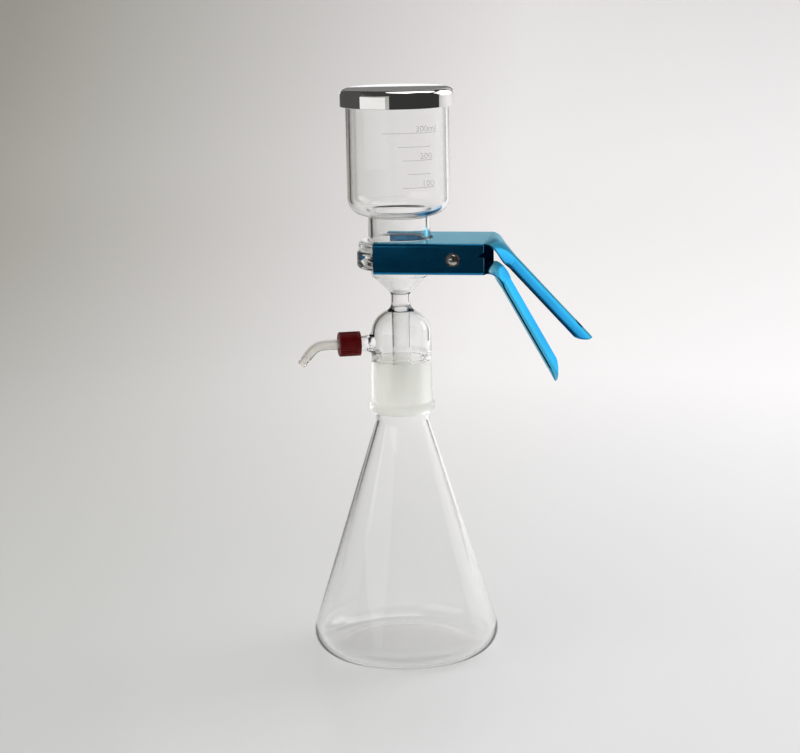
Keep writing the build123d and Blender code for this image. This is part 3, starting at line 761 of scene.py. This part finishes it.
# ---- stage ---------------------------------------------------------------------------------------
def make_camera():
    yaw = math.radians(CAMERA_YAW)
    pitch = math.radians(CAMERA_PITCH)
    roll = math.radians(CAMERA_ROLL)
    place = Vector((math.sin(yaw) * CAMERA_DISTANCE, -math.cos(yaw) * CAMERA_DISTANCE, CAMERA_HEIGHT)) * MM
    ahead = Vector((-math.sin(yaw) * math.cos(pitch), math.cos(yaw) * math.cos(pitch), -math.sin(pitch)))
    level = Vector((math.cos(yaw), math.sin(yaw), 0))
    place += level * CAMERA_SIDE * MM
    upright = level.cross(ahead)
    right = level * math.cos(roll) + upright * math.sin(roll)
    up = right.cross(ahead)
    turn = Matrix((right, up, -ahead)).transposed().to_4x4()
    camera = bpy.data.objects.new("camera", bpy.data.cameras.new("camera"))
    camera.data.sensor_fit = "HORIZONTAL"
    camera.data.sensor_width = SENSOR_WIDTH
    camera.data.lens = CAMERA_LENS
    camera.data.clip_end = 200.0
    camera.matrix_world = Matrix.Translation(place) @ turn
    bpy.context.scene.collection.objects.link(camera)
    bpy.context.scene.camera = camera


def make_sweep():
    """Pale round sweep: a flat floor that curves up into a wall, with painted light and shade: its colour
    runs darker to the left and brighter to the right and behind, and it glows in that colour.
    """
    mat, tree, shader = new_material("sweep_painted_light")
    shader.inputs["Roughness"].default_value = 0.22
    shader.inputs["Specular IOR Level"].default_value = 0.1
    coords = tree.nodes.new("ShaderNodeTexCoord")
    split = tree.nodes.new("ShaderNodeSeparateXYZ")
    tree.links.new(coords.outputs["Object"], split.inputs["Vector"])
    near = shade_ramp(tree, split.outputs["X"], NEAR_PAINTED_SHADES)
    far = shade_ramp(tree, split.outputs["X"], FAR_PAINTED_SHADES)
    depth = tree.nodes.new("ShaderNodeMapRange")
    depth.interpolation_type = "SMOOTHSTEP"
    depth.inputs["From Min"].default_value = SWEEP_BLEND[0]
    depth.inputs["From Max"].default_value = SWEEP_BLEND[1]
    tree.links.new(split.outputs["Y"], depth.inputs["Value"])
    mix = tree.nodes.new("ShaderNodeMix")
    mix.data_type = "RGBA"
    tree.links.new(depth.outputs["Result"], mix.inputs["Factor"])
    tree.links.new(near.outputs["Color"], mix.inputs["A"])
    tree.links.new(far.outputs["Color"], mix.inputs["B"])
    tree.links.new(mix.outputs["Result"], shader.inputs["Base Color"])
    # Painted light: the sweep glows in the colour of its painted shades, though it is no lamp.
    tree.links.new(mix.outputs["Result"], shader.inputs["Emission Color"])
    shader.inputs["Emission Strength"].default_value = SWEEP_PAINTED_GLOW
    floor_z = -FLOOR_DROP
    corners = [
        (0, floor_z, 0, 0),
        (SWEEP_RADIUS, floor_z, SWEEP_CURVE, 0),
        (SWEEP_RADIUS, SWEEP_HEIGHT, 0, 0),
        (SWEEP_RADIUS + SWEEP_SKIN, SWEEP_HEIGHT, 0, 0),
        (SWEEP_RADIUS + SWEEP_SKIN, floor_z - SWEEP_SKIN, 0, 0),
        (0, floor_z - SWEEP_SKIN, 0, 0),
    ]
    sweep = lathe("sweep", rounded(corners), [mat], STAGE_SEGMENTS, STAGE_SHARP_ANGLE)
    sweep.visible_shadow = False


def make_shade():
    """Thin cone and disc that only cast the flask's soft shadow."""
    mat = bpy.data.materials.new("shade")
    mat.use_nodes = True
    tree = mat.node_tree
    clear = tree.nodes.new("ShaderNodeBsdfTransparent")
    clear.inputs["Color"].default_value = (SHADE_CLEARNESS, SHADE_CLEARNESS, SHADE_CLEARNESS, 1.0)
    tree.links.new(clear.outputs["BSDF"], tree.nodes["Material Output"].inputs["Surface"])
    radius = outer_radius("flask") - SHADE_INSET
    cone_top = heights("flask")[1] - JOINT_LENGTH
    corners = [
        (0, SHADE_INSET, 0, 0),
        (SHADE_RADIUS, SHADE_INSET, 0, 0),
        (radius, HEEL_RADIUS, 0, 0),
        (NECK_RADIUS, cone_top, 0, 0),
        (NECK_RADIUS - SHADE_WALL, cone_top, 0, 0),
        (radius - SHADE_WALL, HEEL_RADIUS, 0, 0),
        (SHADE_RADIUS, SHADE_INSET + SHADE_WALL, 0, 0),
        (0, SHADE_INSET + SHADE_WALL, 0, 0),
    ]
    shade = lathe("flask_shade", rounded(corners), [mat], STAGE_SEGMENTS)
    shade.visible_camera = False
    shade.visible_glossy = False
    shade.visible_transmission = False
    shade.visible_diffuse = False


def shade_ramp(tree, value, stops):
    """Shades at places along X in metres, on a scale as wide as the sweep."""
    span = tree.nodes.new("ShaderNodeMapRange")
    span.inputs["From Min"].default_value = -SWEEP_RADIUS * MM
    span.inputs["From Max"].default_value = SWEEP_RADIUS * MM
    tree.links.new(value, span.inputs["Value"])
    ramp = tree.nodes.new("ShaderNodeValToRGB")
    marks = ramp.color_ramp.elements
    while len(marks) < len(stops):
        marks.new(0.5)
    for mark, (x, shade) in zip(marks, stops):
        mark.position = 0.5 + x / (2 * SWEEP_RADIUS * MM)
        mark.color = (*shade, 1.0)
    tree.links.new(span.outputs["Result"], ramp.inputs["Fac"])
    return ramp


def reflection_card(name, start, end, low, high, radius, shade, glossy, through):
    """Upright curved card that only reflections or refractions see; angles run from -Y towards +X."""
    mat, _, shader = new_material(name)
    shader.inputs["Base Color"].default_value = (0, 0, 0, 1)
    shader.inputs["Specular IOR Level"].default_value = 0.0
    shader.inputs["Emission Color"].default_value = (shade, shade, shade, 1)
    shader.inputs["Emission Strength"].default_value = 1.0
    bm = bmesh.new()
    rows = []
    for k in range(STRIP_STEPS + 1):
        a = math.radians(start + (end - start) * k / STRIP_STEPS)
        x, y = math.sin(a) * radius, -math.cos(a) * radius
        rows.append((bm.verts.new((x, y, low)), bm.verts.new((x, y, high))))
    for k in range(STRIP_STEPS):
        bm.faces.new((rows[k][0], rows[k + 1][0], rows[k + 1][1], rows[k][1]))
    card = finish_mesh(name, bm, [mat], STAGE_SHARP_ANGLE)
    card.visible_camera = False
    card.visible_shadow = False
    card.visible_diffuse = False
    card.visible_glossy = glossy
    card.visible_transmission = through


def area_light(name, place, width, height, power, glossy):
    light = bpy.data.lights.new(name, "AREA")
    light.shape = "RECTANGLE"
    light.size = width
    light.size_y = height
    light.energy = power
    obj = bpy.data.objects.new(name, light)
    obj.location = place
    obj.rotation_euler = (Vector(LIGHT_AIM) - Vector(place)).to_track_quat("-Z", "Y").to_euler()
    obj.visible_camera = False
    obj.visible_glossy = glossy
    bpy.context.scene.collection.objects.link(obj)


def make_lights():
    world = bpy.data.worlds.new("studio")
    world.use_nodes = True
    back = world.node_tree.nodes["Background"]
    back.inputs["Color"].default_value = WORLD_COLOR
    back.inputs["Strength"].default_value = WORLD_STRENGTH
    bpy.context.scene.world = world
    bpy.context.scene.view_settings.view_transform = "Standard"
    for light in AREA_LIGHTS:
        area_light(*light)
    sun = bpy.data.lights.new("ceiling", "SUN")
    sun.energy = CEILING_STRENGTH
    sun.angle = math.radians(CEILING_SPREAD)
    lamp = bpy.data.objects.new("ceiling", sun)
    lamp.rotation_euler = (math.radians(CEILING_TILT[0]), math.radians(CEILING_TILT[1]), 0)
    bpy.context.scene.collection.objects.link(lamp)


# ---- build ---------------------------------------------------------------------------------------
glass = [clear_glass(), ground_glass()]
make_flask(glass)
make_base(glass)
make_funnel(glass)
make_lid(polished_steel())
make_marks(white_enamel())
blue = blue_anodised()
dress("upper_lever", blue, SHEET_BEVEL)
dress("lower_lever", blue, SHEET_BEVEL)
rivet = rivet_steel()
dress("pivot_pin", rivet)
dress("pivot_washers", rivet, SMALL_BEVEL)
dress("torsion_spring", spring_steel())
dress("screw_cap", red_plastic(), SMALL_BEVEL)
dress("seal_ring", silicone(), SOFT_BEVEL)
dress("hose_connector", white_plastic())
dress("frit_disc", sintered_glass(), SOFT_BEVEL)
dress("membrane_filter", membrane_white())
make_camera()
make_sweep()
make_shade()
for card in CARDS:
    reflection_card(*card)
make_lights()

bpy.context.view_layer.update()
